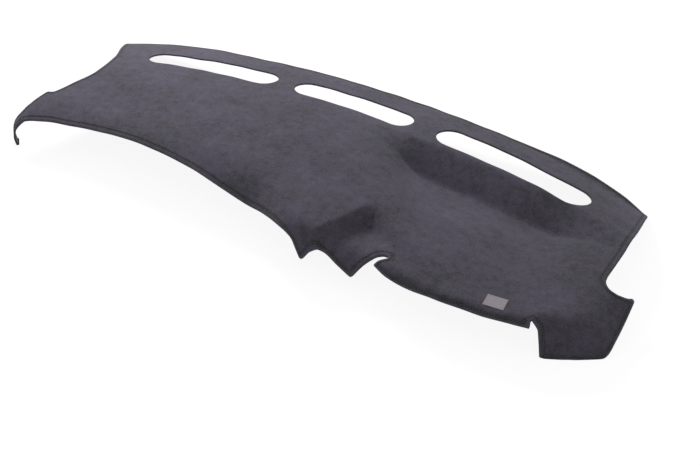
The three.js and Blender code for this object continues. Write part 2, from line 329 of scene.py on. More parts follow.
@dataclass(frozen=True)
class Crown:
    """The crowned top: heights along its middle, front and rear lines, and their fall to the ends."""

    centre: float = -107.0
    half_length: float = 668.0
    middle_y: float = -20.0
    middle_height: float = 106.0
    middle_fall: float = 32.0
    front_y: float = -230.0
    front_height: float = 99.0
    front_fall: float = 13.0
    end_curve: float = 2.4
    rear_y: float = 308.0
    rear_height: float = 57.5
    rear_foot: float = 7.5
    rear_curve: float = 2.6
    rear_bow: float = 68.0
    rear_bow_curve: float = 2.3
    rear_skew: float = 12.0
    down_curve: float = 1.9

    def height(self, x: np.ndarray, y: np.ndarray) -> np.ndarray:
        """Height before the lower area and the turned-down edges.

        Args:
            x: Places along the dashboard.
            y: Places towards the windscreen.

        Returns:
            The height at each place.
        """
        along = np.clip((x - self.centre) / self.half_length, -1, 1)
        end = np.abs(along)
        rear = self.rear_foot + (self.rear_height - self.rear_foot) * (1 - end**self.rear_curve)
        middle = self.middle_height - self.middle_fall * end**self.end_curve
        front = self.front_height - self.front_fall * end**self.end_curve
        rear_edge = self.rear_y - self.rear_bow * end**self.rear_bow_curve - self.rear_skew * along
        to_rear = share((y - self.middle_y) / (rear_edge - self.middle_y))
        to_front = np.maximum((self.middle_y - y) / (self.middle_y - self.front_y), 0.0)
        return middle - (middle - rear) * to_rear**self.down_curve - (middle - front) * to_front**2


@dataclass(frozen=True)
class SlantedLine:
    """A straight line through two points of the pattern."""

    front: tuple[float, float]
    rear: tuple[float, float]

    def x_at(self, y: np.ndarray) -> np.ndarray:
        """Returns the line's place along x at a given y."""
        return lerp(self.front[0], self.rear[0], (y - self.front[1]) / (self.rear[1] - self.front[1]))


@dataclass(frozen=True)
class LowerArea:
    """The lower area in front of the driver: vent slope, side slope, valley, and pocket with its step."""

    depth: float = 31.0
    front_depth: float = 17.0
    front_start: float = 40.0
    front_length: float = 270.0
    right_share: float = 0.1
    right_start: float = 400.0
    right_length: float = 210.0
    slope_y: float = 134.0
    slope_slant: float = 0.085
    slope_start: float = 120.0
    slope_bow: float = 16.0
    slope_middle: float = 285.0
    slope_half: float = 280.0
    slope_width: float = 60.0
    slope_end_width: float = 54.0
    slope_curve: float = 1.15
    side: SlantedLine = SlantedLine((120.0, -118.0), (-15.0, 125.0))
    side_width: float = 148.0
    step: SlantedLine = SlantedLine((56.0, -268.0), (117.0, -142.0))
    step_width: float = 28.0
    pocket: tuple[float, float] = (165.0, -130.0)
    pocket_heading: float = -2.1017
    pocket_length: float = 35.0
    foot_depth: float = 9.0
    foot_x: float = 150.0
    foot_width: float = 70.0
    valley_depth: float = 23.0
    valley_y: float = 66.0
    valley_length: float = 150.0
    valley_left: float = 40.0
    valley_left_length: float = 90.0
    valley_right: float = 430.0
    valley_right_length: float = 110.0

    def depth_at(self, x: np.ndarray, y: np.ndarray) -> np.ndarray:
        """How far the cloth lies below the crown.

        Args:
            x: Places along the dashboard.
            y: Places towards the windscreen.

        Returns:
            The depth at each place.
        """
        off_middle = ((x - self.slope_middle) / self.slope_half) ** 2
        slope_top = self.slope_y - self.slope_slant * (x - self.slope_start) - self.slope_bow * off_middle
        slope_width = lerp(self.slope_width, self.slope_end_width, share(off_middle))
        down_slope = share((slope_top - y) / slope_width) ** self.slope_curve
        down_side = ease(x - self.side.x_at(y), self.side_width)
        past_side = (x - self.pocket[0]) * math.cos(self.pocket_heading)
        past_side = past_side + (y - self.pocket[1]) * math.sin(self.pocket_heading)
        in_pocket = ease(past_side, self.pocket_length)
        down_step = ease(x - self.step.x_at(y), self.step_width) * in_pocket
        down = 1 - (1 - down_side) * (1 - down_step)
        at_foot = (1 - ease(x - self.foot_x, self.foot_width)) * in_pocket
        depth = lerp(self.depth, self.front_depth, ease(self.front_start - y, self.front_length))
        to_right = lerp(1.0, self.right_share, ease(x - self.right_start, self.right_length))
        from_left = ease(x - self.valley_left, self.valley_left_length)
        from_right = 1 - ease(x - self.valley_right, self.valley_right_length)
        in_valley = 1 - ease(self.valley_y - y, self.valley_length)
        valley = self.valley_depth * from_left * from_right * in_valley
        return ((depth + self.foot_depth * at_foot) * to_right + valley) * down_slope * down


@dataclass(frozen=True)
class HoodSwell:
    """The low swell over the instruments."""

    rise: float = 5.0
    x: float = 362.0
    half_length: float = 190.0
    y: float = -150.0
    half_depth: float = 150.0
    curve: float = 1.5

    def height(self, x: np.ndarray, y: np.ndarray) -> np.ndarray:
        """Height that the swell adds.

        Args:
            x: Places along the dashboard.
            y: Places towards the windscreen.

        Returns:
            The height at each place.
        """
        across = share(1 - ((x - self.x) / self.half_length) ** 2)
        along = share(1 - ((y - self.y) / self.half_depth) ** 2)
        return self.rise * (across * along) ** self.curve


@dataclass(frozen=True)
class FrontLine:
    """The line where the front edge turns down, from the passenger's side to the hood."""

    passenger: Bend = Bend(150, 0.62)
    passenger_start: float = -95.0
    passenger_bow: float = 20.0
    passenger_middle: float = -330.0
    passenger_half: float = 367.0
    end_x: float = -540.0
    end_length: float = 130.0
    end_shift: float = 26.0
    apron: Bend = Bend(26, 1.4)
    apron_start: float = -222.0
    apron_x: float = -110.0
    apron_length: float = 150.0
    tongue: Bend = Bend(48, 1.15)
    tongue_shift: float = 12.0
    tongue_x: float = 84.0
    tongue_length: float = 40.0
    tongue_end: float = 205.0
    tongue_end_length: float = 10.0
    hood: Bend = Bend(10, 1.15)
    hood_start: float = -254.0
    hood_bow: float = 16.0
    hood_middle: float = 362.0
    hood_half: float = 150.0
    slit: tuple[float, float] = (219.0, -222.0)
    slit_mouth: float = 197.0
    slit_heading: float = 0.5

    def bend_at(self, u: np.ndarray, v: np.ndarray) -> tuple[np.ndarray, np.ndarray, np.ndarray]:
        """The bend along the front edge.

        Args:
            u: Pattern places along the dashboard.
            v: Pattern places towards the windscreen.

        Returns:
            The bend's start line, radius and angle at each place.
        """
        sine, cosine = math.sin(self.slit_heading), math.cos(self.slit_heading)
        past_slit = (u - self.slit[0]) * sine - (v - self.slit[1]) * cosine
        is_hood = (u >= self.slit[0]) | ((u > self.slit_mouth) & (past_slit > 0))
        from_middle = (u - self.passenger_middle) / self.passenger_half
        curve = self.passenger_bow * np.cos(from_middle * math.pi / 2)
        start = self.passenger_start - curve - self.end_shift * ease(self.end_x - u, self.end_length)
        to_apron = ease(u - self.apron_x, self.apron_length)
        past_tongue = ease(u - self.tongue_end, self.tongue_end_length)
        to_tongue = ease(u - self.tongue_x, self.tongue_length) * (1 - past_tongue)
        start = lerp(start, self.apron_start, to_apron) + self.tongue_shift * to_tongue
        radius = lerp(self.passenger.radius, self.apron.radius, to_apron)
        radius = radius + (self.tongue.radius - self.apron.radius) * to_tongue
        angle = lerp(self.passenger.angle, self.apron.angle, to_apron)
        angle = angle + (self.tongue.angle - self.apron.angle) * to_tongue
        hood_start = self.hood_start + self.hood_bow * ((u - self.hood_middle) / self.hood_half) ** 2
        start = np.where(is_hood, hood_start, start)
        radius = np.where(is_hood, self.hood.radius, radius)
        angle = np.where(is_hood, self.hood.angle, angle)
        return start, radius, angle


@dataclass(frozen=True)
class Ripples:
    """The slight unevenness of carpet that has been moulded by hand."""

    height: float = 0.55
    seed: int = 11
    waves: int = 14
    shortest: float = 55.0
    longest: float = 190.0

    def height_at(self, x: np.ndarray, y: np.ndarray) -> np.ndarray:
        """Sum of long low waves with seeded headings, lengths and phases.

        Args:
            x: Places along the dashboard.
            y: Places towards the windscreen.

        Returns:
            The height at each place.
        """
        draw = np.random.default_rng(self.seed)
        total = np.zeros_like(x)
        for _ in range(self.waves):
            heading = draw.uniform(0, 2 * math.pi)
            wave = draw.uniform(self.shortest, self.longest)
            phase = draw.uniform(0, 2 * math.pi)
            along = x * math.cos(heading) + y * math.sin(heading)
            total = total + np.sin(along * 2 * math.pi / wave + phase)
        return self.height * total / math.sqrt(self.waves / 2)


@dataclass(frozen=True)
class MouldedShape:
    """The finished mat's upper face, in millimetres."""

    crown: Crown = Crown()
    lower_area: LowerArea = LowerArea()
    hood_swell: HoodSwell = HoodSwell()
    front_line: FrontLine = FrontLine()
    ripples: Ripples = Ripples()
    flap: Bend = Bend(30, 1.46, 520, -212, -1.2025)
    flap_start: float = 500.0
    flap_length: float = 24.0
    tab: Bend = Bend(18, 1.83, -693.7, -205.3, -2.2748)
    tab_start: float = -665.0
    tab_length: float = 16.0
    right_side: Bend = Bend(100, 0.75, 566, -60, -0.2426)
    left_side: Bend = Bend(100, 0.75, -696, -60, math.pi + 0.2426)
    side_end: float = -20.0
    side_end_length: float = 50.0

    @staticmethod
    def over_edge(
        past: np.ndarray, radius: np.ndarray | float, angle: np.ndarray | float
    ) -> tuple[np.ndarray, np.ndarray]:
        """Cloth laid over a rounded edge.

        Args:
            past: Length of cloth past the start of the bend.
            radius: The bend's radius.
            angle: The angle that the cloth has turned after the bend.

        Returns:
            How far the cloth still goes outwards, and how far it drops.
        """
        length = np.maximum(past, 0.0)
        turned = np.minimum(length / radius, angle)
        hanging = np.maximum(length - radius * angle, 0.0)
        out = radius * np.sin(turned) + hanging * np.cos(angle)
        drop = radius * (1 - np.cos(turned)) + hanging * np.sin(angle)
        return out, drop

    def bend_over(self, place: list[np.ndarray], bend: Bend, strength: np.ndarray) -> list[np.ndarray]:
        """Bends the cloth down past a straight line.

        Args:
            place: The cloth's x, y and drop so far.
            bend: The bend, with its line's point and heading.
            strength: A share from 0 to 1 that fades the bend out.

        Returns:
            The new x, y and drop.
        """
        x, y, drop = place
        nx, ny = math.cos(bend.heading), math.sin(bend.heading)
        past = ((x - bend.x) * nx + (y - bend.y) * ny) * strength
        out, fall = self.over_edge(past, bend.radius, bend.angle)
        back = np.maximum(past, 0.0) - out
        return [x - back * nx, y - back * ny, drop + fall]

    def top(self, uv: np.ndarray) -> np.ndarray:
        """Places of points of the flat pattern on the finished mat's upper face.

        Args:
            uv: Rows of pattern points.

        Returns:
            Rows of x, y and z in the pattern's own frame.
        """
        u, v = uv[:, 0], uv[:, 1]
        on_flap = ease(u - self.flap_start, self.flap_length)
        on_tab = 1 - ease(u - self.tab_start, self.tab_length)
        start, radius, angle = self.front_line.bend_at(u, v)
        past = (start - v) * (1 - on_flap)
        out, fall = self.over_edge(past, radius, angle)
        place = [u, v + np.maximum(past, 0.0) - out, fall]
        place = self.bend_over(place, self.flap, on_flap)
        place = self.bend_over(place, self.right_side, self.side_strength(place[1]))
        place = self.bend_over(place, self.tab, on_tab)
        place = self.bend_over(place, self.left_side, self.side_strength(place[1]))
        x, y, drop = place
        height = self.crown.height(x, y) + self.hood_swell.height(x, y)
        height = height - self.lower_area.depth_at(x, y) - drop + self.ripples.height_at(x, y)
        return np.stack([x, y, height], axis=1)

    def side_strength(self, y: np.ndarray) -> np.ndarray:
        """Returns how fully the mat's two ends turn down: they lie flat towards the windscreen."""
        return 1 - ease(y - self.side_end, self.side_end_length)

    def normal(self, uv: np.ndarray) -> np.ndarray:
        """Outward directions of the upper face.

        Args:
            uv: Rows of pattern points.

        Returns:
            Rows of unit directions.
        """
        reach = 0.5
        du, dv = np.array([reach, 0.0]), np.array([0.0, reach])
        along_u = self.top(uv + du) - self.top(uv - du)
        along_v = self.top(uv + dv) - self.top(uv - dv)
        across = np.cross(along_u, along_v)
        return across / np.linalg.norm(across, axis=1)[:, None]

    def in_frame(self, places: np.ndarray) -> np.ndarray:
        """Moves places to the part's frame, with nothing below the floor.

        Args:
            places: Rows of x, y and z in the pattern's own frame, in millimetres.

        Returns:
            The places in metres, in the part's frame.
        """
        out = places * MM + np.array([PATTERN_PLACE[0], PATTERN_PLACE[1], 0.0])
        out[:, 2] = np.maximum(out[:, 2], 0.0)
        return out


def shade(colour: tuple[float, float, float], by: float) -> tuple[float, float, float]:
    """Returns a colour made lighter or darker."""
    return tuple(by * channel for channel in colour)


def node_of(tree: bpy.types.NodeTree, kind: str, **values: object) -> bpy.types.Node:
    """Adds a node and sets its inputs and properties.

    Args:
        tree: The material's node tree.
        kind: The node's type name.
        **values: Property names, or input names with underscores for spaces.

    Returns:
        The new node.
    """
    node = tree.nodes.new(kind)
    for name, value in values.items():
        if hasattr(node, name):
            setattr(node, name, value)
        else:
            node.inputs[name.replace("_", " ")].default_value = value
    return node


class Shading:
    """A new material with its main shader, and the steps that the finishes share."""

    def __init__(self, name: str, **values: object) -> None:
        """Makes the material.

        Args:
            name: The material's name.
            **values: Numbers and colours for the shader's own sockets.
        """
        self.made = bpy.data.materials.new(name)
        self.made.use_nodes = True
        self.tree = self.made.node_tree
        self.shader = self.tree.nodes["Principled BSDF"]
        for socket, value in values.items():
            self.shader.inputs[socket.replace("_", " ")].default_value = value
        self.where = node_of(self.tree, "ShaderNodeTexCoord").outputs["Object"]

    def texture(self, kind: str, **values: object) -> bpy.types.NodeSocket:
        """Adds a texture in the piece's own coordinates.

        Args:
            kind: The texture node's type name.
            **values: Its settings.

        Returns:
            The texture's value.
        """
        node = node_of(self.tree, kind, **values)
        self.tree.links.new(self.where, node.inputs["Vector"])
        return node.outputs["Fac"]

    def scaled(self, value: bpy.types.NodeSocket, gain: float, middle: float = 0.5) -> bpy.types.NodeSocket:
        """Turns a texture's value into a brightness factor round 1.

        Args:
            value: The texture's value.
            gain: How strongly it changes the brightness.
            middle: The value that leaves the brightness as it is.

        Returns:
            The factor.
        """
        step = node_of(self.tree, "ShaderNodeMath", operation="MULTIPLY_ADD")
        self.tree.links.new(value, step.inputs[0])
        step.inputs[1].default_value = gain
        step.inputs[2].default_value = 1.0 - gain * middle
        return step.outputs[0]

    def product(self, first: bpy.types.NodeSocket, second: bpy.types.NodeSocket) -> bpy.types.NodeSocket:
        """Multiplies two values.

        Args:
            first: One value.
            second: The other value.

        Returns:
            Their product.
        """
        step = node_of(self.tree, "ShaderNodeMath", operation="MULTIPLY")
        self.tree.links.new(first, step.inputs[0])
        self.tree.links.new(second, step.inputs[1])
        return step.outputs[0]

    def times(self, value: bpy.types.NodeSocket, by: float) -> bpy.types.NodeSocket:
        """Multiplies a value by a number.

        Args:
            value: The value.
            by: The number.

        Returns:
            Their product.
        """
        step = node_of(self.tree, "ShaderNodeMath", operation="MULTIPLY")
        step.inputs[1].default_value = by
        self.tree.links.new(value, step.inputs[0])
        return step.outputs[0]

    def colour(self, value: bpy.types.NodeSocket, first: Stop, last: Stop, *between: Stop) -> None:
        """Colours the piece by a value.

        Args:
            value: The value that chooses the colour.
            first: The ramp's first place and colour.
            last: The ramp's last place and colour.
            *between: Places and colours between them.
        """
        node = node_of(self.tree, "ShaderNodeValToRGB")
        stops = node.color_ramp.elements
        for stop, (place, _) in zip(stops, (first, last)):
            stop.position = place
        for stop, (_, colour) in zip(stops, (first, last)):
            stop.color = (*colour, 1.0)
        for place, colour in between:
            stops.new(place).color = (*colour, 1.0)
        self.tree.links.new(value, node.inputs["Fac"])
        self.tree.links.new(node.outputs["Color"], self.shader.inputs["Base Color"])

    def relief(self, *layers: tuple[bpy.types.NodeSocket, float, float]) -> None:
        """Gives the piece fine relief.

        Args:
            *layers: A height, its strength and its depth in metres, from the finest up.
        """
        normal = None
        for height, strength, depth in layers:
            bump = node_of(self.tree, "ShaderNodeBump", Strength=strength, Distance=depth)
            self.tree.links.new(height, bump.inputs["Height"])
            if normal is not None:
                self.tree.links.new(normal, bump.inputs["Normal"])
            normal = bump.outputs["Normal"]
        self.tree.links.new(normal, self.shader.inputs["Normal"])


@dataclass(frozen=True)
class CarpetFinish:
    """Needle-punched charcoal carpet: short matt fibres, mottled, with a faint violet cast."""

    name: str = "needle_punched_carpet"
    dark: Stop = (0.30, (0.038, 0.043, 0.037))
    usual: Stop = (0.52, (0.099, 0.090, 0.117))
    light: Stop = (0.85, (0.153, 0.133, 0.198))
    fibre_scale: float = 950.0
    fibre_gain: float = 1.0
    fibre_relief: tuple[float, float] = (0.55, 0.0009)
    tuft_scale: float = 310.0
    tuft_gain: float = 0.9
    tuft_relief: tuple[float, float] = (0.45, 0.0016)
    mottle_scale: float = 62.0
    mottle_gain: float = 1.0
    cloud_scale: float = 9.0
    cloud_gain: float = 0.65
    roughness: float = 0.96
    specular: float = 0.12
    sheen: float = 0.22
    sheen_roughness: float = 0.55
    sheen_tint: tuple[float, float, float, float] = (0.80, 0.77, 0.90, 1.0)

    def material(self) -> bpy.types.Material:
        """Makes the carpet's material.

        Returns:
            The material.
        """
        look = Shading(
            self.name,
            Roughness=self.roughness,
            Specular_IOR_Level=self.specular,
            Sheen_Weight=self.sheen,
            Sheen_Roughness=self.sheen_roughness,
            Sheen_Tint=self.sheen_tint,
        )
        noise = "ShaderNodeTexNoise"
        fibre = look.texture(noise, Scale=self.fibre_scale, Detail=2.0, Roughness=0.5)
        tuft = look.texture(noise, Scale=self.tuft_scale, Detail=3.0, Roughness=0.6)
        mottle = look.texture(noise, Scale=self.mottle_scale, Detail=4.0, Roughness=0.62)
        cloud = look.texture(noise, Scale=self.cloud_scale, Detail=3.0, Roughness=0.5)
        factor = look.product(look.scaled(fibre, self.fibre_gain), look.scaled(tuft, self.tuft_gain))
        factor = look.product(factor, look.scaled(mottle, self.mottle_gain))
        factor = look.product(factor, look.scaled(cloud, self.cloud_gain))
        # Painted light on the hem: painted shade along the stitch groove, painted highlight on the rounded
        # fold
        hem_painted_light = node_of(look.tree, "ShaderNodeAttribute", attribute_name=HEM_PAINTED_LIGHT)
        factor = look.product(factor, hem_painted_light.outputs["Fac"])
        look.colour(look.times(factor, self.usual[0]), self.dark, self.light, self.usual)
        look.relief((fibre, *self.fibre_relief), (tuft, *self.tuft_relief))
        return look.made


@dataclass(frozen=True)
class ThreadFinish:
    """Polyester sewing thread: two twisted plies with a soft gloss; its colour is painted darker between the
    plies as painted shade and lighter on them as a painted highlight.
    """

    name: str
    colour: tuple[float, float, float]
    twist_scale: float = 1400.0
    twist_blur: float = 0.6
    painted_ply_shade: float = 0.7
    painted_ply_highlight: float = 1.2
    roughness: float = 0.5
    sheen: float = 0.1
    relief: tuple[float, float] = (0.4, 0.0003)

    def material(self) -> bpy.types.Material:
        """Makes the thread's material.

        Returns:
            The material.
        """
        look = Shading(self.name, Roughness=self.roughness, Sheen_Weight=self.sheen)
        twist = look.texture(
            "ShaderNodeTexWave",
            wave_type="BANDS",
            bands_direction="DIAGONAL",
            Scale=self.twist_scale,
            Distortion=self.twist_blur,
        )
        # Painted shade between the plies and painted highlight on them, following the twist
        low, high = (shade(self.colour, by) for by in (self.painted_ply_shade, self.painted_ply_highlight))
        look.colour(twist, (0.0, low), (1.0, high))
        look.relief((twist, *self.relief))
        return look.made


@dataclass(frozen=True)
class TapeFinish:
    """Plain woven grey tape: fine warp and weft, a little brighter where threads catch light."""

    name: str = "woven_tape"
    colour: tuple[float, float, float] = (0.430, 0.395, 0.438)
    thread_scale: float = 560.0
    weave_gain: float = 0.35
    weave_middle: float = 0.25
    fleck_scale: float = 420.0
    fleck_gain: float = 0.5
    low: tuple[float, float] = (0.25, 0.6)
    high: tuple[float, float] = (0.75, 1.4)
    roughness: float = 0.72
    specular: float = 0.3
    sheen: float = 0.15
    relief: tuple[float, float] = (0.5, 0.0003)

    def material(self) -> bpy.types.Material:
        """Makes the tape's material.

        Returns:
            The material.
        """
        look = Shading(
            self.name,
            Roughness=self.roughness,
            Specular_IOR_Level=self.specular,
            Sheen_Weight=self.sheen,
        )
        threads = [
            look.texture("ShaderNodeTexWave", wave_type="BANDS", bands_direction=way, Scale=self.thread_scale)
            for way in ("X", "Y")
        ]
        weave = look.product(*threads)
        fleck = look.texture("ShaderNodeTexNoise", Scale=self.fleck_scale, Detail=3.0)
        woven = look.scaled(weave, self.weave_gain, self.weave_middle)
        factor = look.product(woven, look.scaled(fleck, self.fleck_gain))
        low, high = ((place, shade(self.colour, by)) for place, by in (self.low, self.high))
        look.colour(look.times(factor, 0.5), low, high)
        look.relief((weave, *self.relief))
        return look.made


def piece_of(
    name: str, places: np.ndarray, faces: list[list[int]], material: bpy.types.Material
) -> bpy.types.Object:
    """Makes a smooth mesh object.

    Args:
        name: The piece's name.
        places: Its points in metres.
        faces: Its faces as rows of point numbers.
        material: Its finish.

    Returns:
        The object, in the scene.
    """
    mesh = bpy.data.meshes.new(name)
    mesh.from_pydata(places.tolist(), [], [list(map(int, face)) for face in faces])
    mesh.validate()
    mesh.polygons.foreach_set("use_smooth", [True] * len(mesh.polygons))
    mesh.update()
    mesh.materials.append(material)
    made = bpy.data.objects.new(name, mesh)
    bpy.context.scene.collection.objects.link(made)
    return made


@dataclass
class MatPanel:
    """The carpet: upper face, rounded turned-under hem and underside, in one closed sheet."""

    shape: MouldedShape
    pattern: FlatPattern
    cloth: float = 4.0
    hem: float = 7.5
    hem_width: float = 11.0
    hem_step: float = 2.5
    stitch_depth: float = 9.0
    groove: float = 1.1
    groove_width: float = 1.5
    edge_spacing: float = 4.5
    field_spacing: float = 7.2
    slot_edge: float = 1.1
    tab_hem: float = 3.6
    # Painted shade along the stitch groove (its width and how much darker) and painted highlight on the hem's
    # fold (how much lighter, where it starts and fades)
    groove_shade_width: float = 2.6
    painted_groove_shade: float = 0.42
    painted_fold_highlight: float = 0.22
    fold_highlight_band: tuple[float, float] = (1.0, 4.0)
    fold_rows: int = 4
    hem_rows: tuple[float, ...] = (5.8, 7.4, 8.3, 9.0, 9.7, 10.6, 12.3, 15.5)
    slot_rows: tuple[float, ...] = (0.35, 1.1, 3.5)
    row_room: float = 0.62
    field_room: float = 0.6
    tab_x: tuple[float, float] = (-712.0, 14.0)
    tab_y: tuple[float, float] = (-150.0, 40.0)
    outline: np.ndarray = field(init=False)
    holes: list[np.ndarray] = field(init=False)

    def __post_init__(self) -> None:
        """Cuts the outline and the slots at the mesh's spacing."""
        self.outline = self.pattern.outline(self.edge_spacing)
        self.holes = [self.pattern.slot_outline(i, self.edge_spacing) for i in range(len(self.pattern.slots))]

    def points(self) -> tuple[np.ndarray, list[tuple[int, int]]]:
        """The pattern's mesh points: outline, slots, rows along both, and a triangular grid.

        Returns:
            The points, and the pairs of points that the cut edges join.
        """
        loops = [self.outline, *self.holes]
        edges, first = [], 0
        for loop in loops:
            count = len(loop)
            edges += [(first + i, first + (i + 1) % count) for i in range(count)]
            first += count
        turns = [math.pi / 2 * k / self.fold_rows for k in range(1, self.fold_rows + 1)]
        depths = [self.hem / 2 * (1 - math.cos(turn)) for turn in turns]
        depths += self.hem_rows
        rows = [inset(self.outline, depth, self.edge_spacing * self.row_room) for depth in depths]
        for i in range(len(self.holes)):
            rows += [self.pattern.slot_outline(i, self.edge_spacing, grow) for grow in self.slot_rows]
        box_low, box_high = self.outline.min(0), self.outline.max(0)
        height = self.field_spacing * math.sqrt(3) / 2
        ys = np.arange(box_low[1], box_high[1], height)
        grid = []
        for k, y in enumerate(ys):
            xs = np.arange(box_low[0], box_high[0], self.field_spacing) + (k % 2) * self.field_spacing / 2
            grid.append(np.stack([xs, np.full(len(xs), y)], axis=1))
        grid = np.concatenate(grid)
        grid = grid[is_inside(grid, self.outline)]
        room = self.field_spacing * self.field_room
        grid = grid[distance_to(grid, self.outline) > self.hem_rows[-1] + room]
        for hole in self.holes:
            grid = grid[~is_inside(grid, hole)]
            grid = grid[distance_to(grid, hole) > self.slot_rows[-1] + room]
        inner = np.concatenate([*rows, grid])
        for hole in self.holes:
            inner = inner[~is_inside(inner, hole)]
        return np.concatenate([*loops, inner]), edges

    def faces_of(self, points: np.ndarray, edges: list[tuple[int, int]]) -> tuple[np.ndarray, np.ndarray]:
        """Triangles between the points, inside the outline and outside the slots.

        Args:
            points: The pattern's mesh points.
            edges: The cut edges.

        Returns:
            The points as the triangulation keeps them, and its triangles, counterclockwise.
        """
        found = delaunay_2d_cdt([Vector(p) for p in points.tolist()], edges, [], 0, 1e-4)
        kept = np.array([tuple(p) for p in found[0]])
        triangles = np.array([f for f in found[2] if len(f) == 3])
        middle = kept[triangles].mean(1)
        wanted = is_inside(middle, self.outline)
        for hole in self.holes:
            wanted &= ~is_inside(middle, hole)
        triangles = triangles[wanted]
        a, b, c = (kept[triangles[:, k]] for k in range(3))
        turn = (b[:, 0] - a[:, 0]) * (c[:, 1] - a[:, 1]) - (b[:, 1] - a[:, 1]) * (c[:, 0] - a[:, 0])
        triangles[turn < 0] = triangles[turn < 0][:, ::-1]
        return kept, triangles

    def offsets(self, points: np.ndarray) -> tuple[np.ndarray, np.ndarray]:
        """How far both faces lie from the moulded surface.

        Args:
            points: The pattern's mesh points.

        Returns:
            Offsets of the upper face and of the underside along the outward direction.
        """
        from_edge = distance_to(points, self.outline)
        from_slot = np.min([distance_to(points, hole) for hole in self.holes], axis=0)
        radius = self.hem / 2
        rounding = radius - np.sqrt(np.maximum(radius**2 - np.maximum(radius - from_edge, 0.0) ** 2, 0.0))
        stitched = self.groove * np.exp(-(((from_edge - self.stitch_depth) / self.groove_width) ** 2))
        cut = self.slot_edge
        worn = cut - np.sqrt(np.maximum(cut**2 - np.maximum(cut - from_slot, 0.0) ** 2, 0.0))
        past_hem = share((from_edge - self.hem_width - 0.5) / (self.hem_step - 1))
        beyond = ease(points[:, 0] - self.tab_x[0], self.tab_x[1])
        behind = ease(points[:, 1] - self.tab_y[0], self.tab_y[1])
        on_tab = (1 - beyond) * (1 - behind)
        thickness = lerp(lerp(self.hem, self.tab_hem, on_tab), self.cloth, past_hem)
        top = -rounding - stitched - worn
        bottom = -thickness + rounding + worn
        return top, bottom

    def build(self, finish: CarpetFinish) -> bpy.types.Object:
        """Builds the carpet.

        Args:
            finish: The carpet's finish.

        Returns:
            The carpet's object.
        """
        points, edges = self.points()
        kept, triangles = self.faces_of(points, edges)
        top_gap, bottom_gap = self.offsets(kept)
        surface, outward = self.shape.top(kept), self.shape.normal(kept)
        top = surface + outward * top_gap[:, None]
        bottom = surface + outward * bottom_gap[:, None]
        count = len(kept)
        pairs = np.concatenate([triangles[:, [0, 1]], triangles[:, [1, 2]], triangles[:, [2, 0]]])
        seen = {tuple(pair) for pair in pairs.tolist()}
        free = [(a, b) for a, b in seen if (b, a) not in seen]
        faces = triangles.tolist()
        faces += (triangles[:, ::-1] + count).tolist()
        faces += [[b, a, a + count, b + count] for a, b in free]
        places = self.shape.in_frame(np.concatenate([top, bottom]))
        made = piece_of("carpet_mat", places, faces, finish.material())
        # The hem's painted shade and painted highlight, stored as a brightness factor on each point
        painted_hem_light = made.data.attributes.new(HEM_PAINTED_LIGHT, "FLOAT", "POINT")
        painted_hem_light.data.foreach_set("value", np.tile(self.hem_painted_light(kept), 2))
        self.weld(made)
        return made

    def hem_painted_light(self, points: np.ndarray) -> np.ndarray:
        """Painted light on the hem: painted shade darkens the pile along the stitch groove, a painted
        highlight lightens the rounded fold.

        Args:
            points: The pattern's mesh points.

        Returns:
            One brightness factor a point.
        """
        from_edge = distance_to(points, self.outline)
        # Painted shade: darker in a band along the stitch groove
        groove_shade = np.exp(-(((from_edge - self.stitch_depth) / self.groove_shade_width) ** 2))
        # Painted highlight: lighter on the rounded fold at the very edge
        fold_highlight_band = 1 - ease(from_edge - self.fold_highlight_band[0], self.fold_highlight_band[1])
        return 1.0 - self.painted_groove_shade * groove_shade + self.painted_fold_highlight * fold_highlight_band

    def weld(self, made: bpy.types.Object) -> None:
        """Joins the two faces where the rounded hem meets at the very edge.

        Args:
            made: The carpet's object.
        """
        work = bmesh.new()
        work.from_mesh(made.data)
        bmesh.ops.remove_doubles(work, verts=work.verts, dist=1e-6)
        bmesh.ops.dissolve_degenerate(work, edges=work.edges, dist=1e-7)
        work.to_mesh(made.data)
        work.free()
        made.data.update()


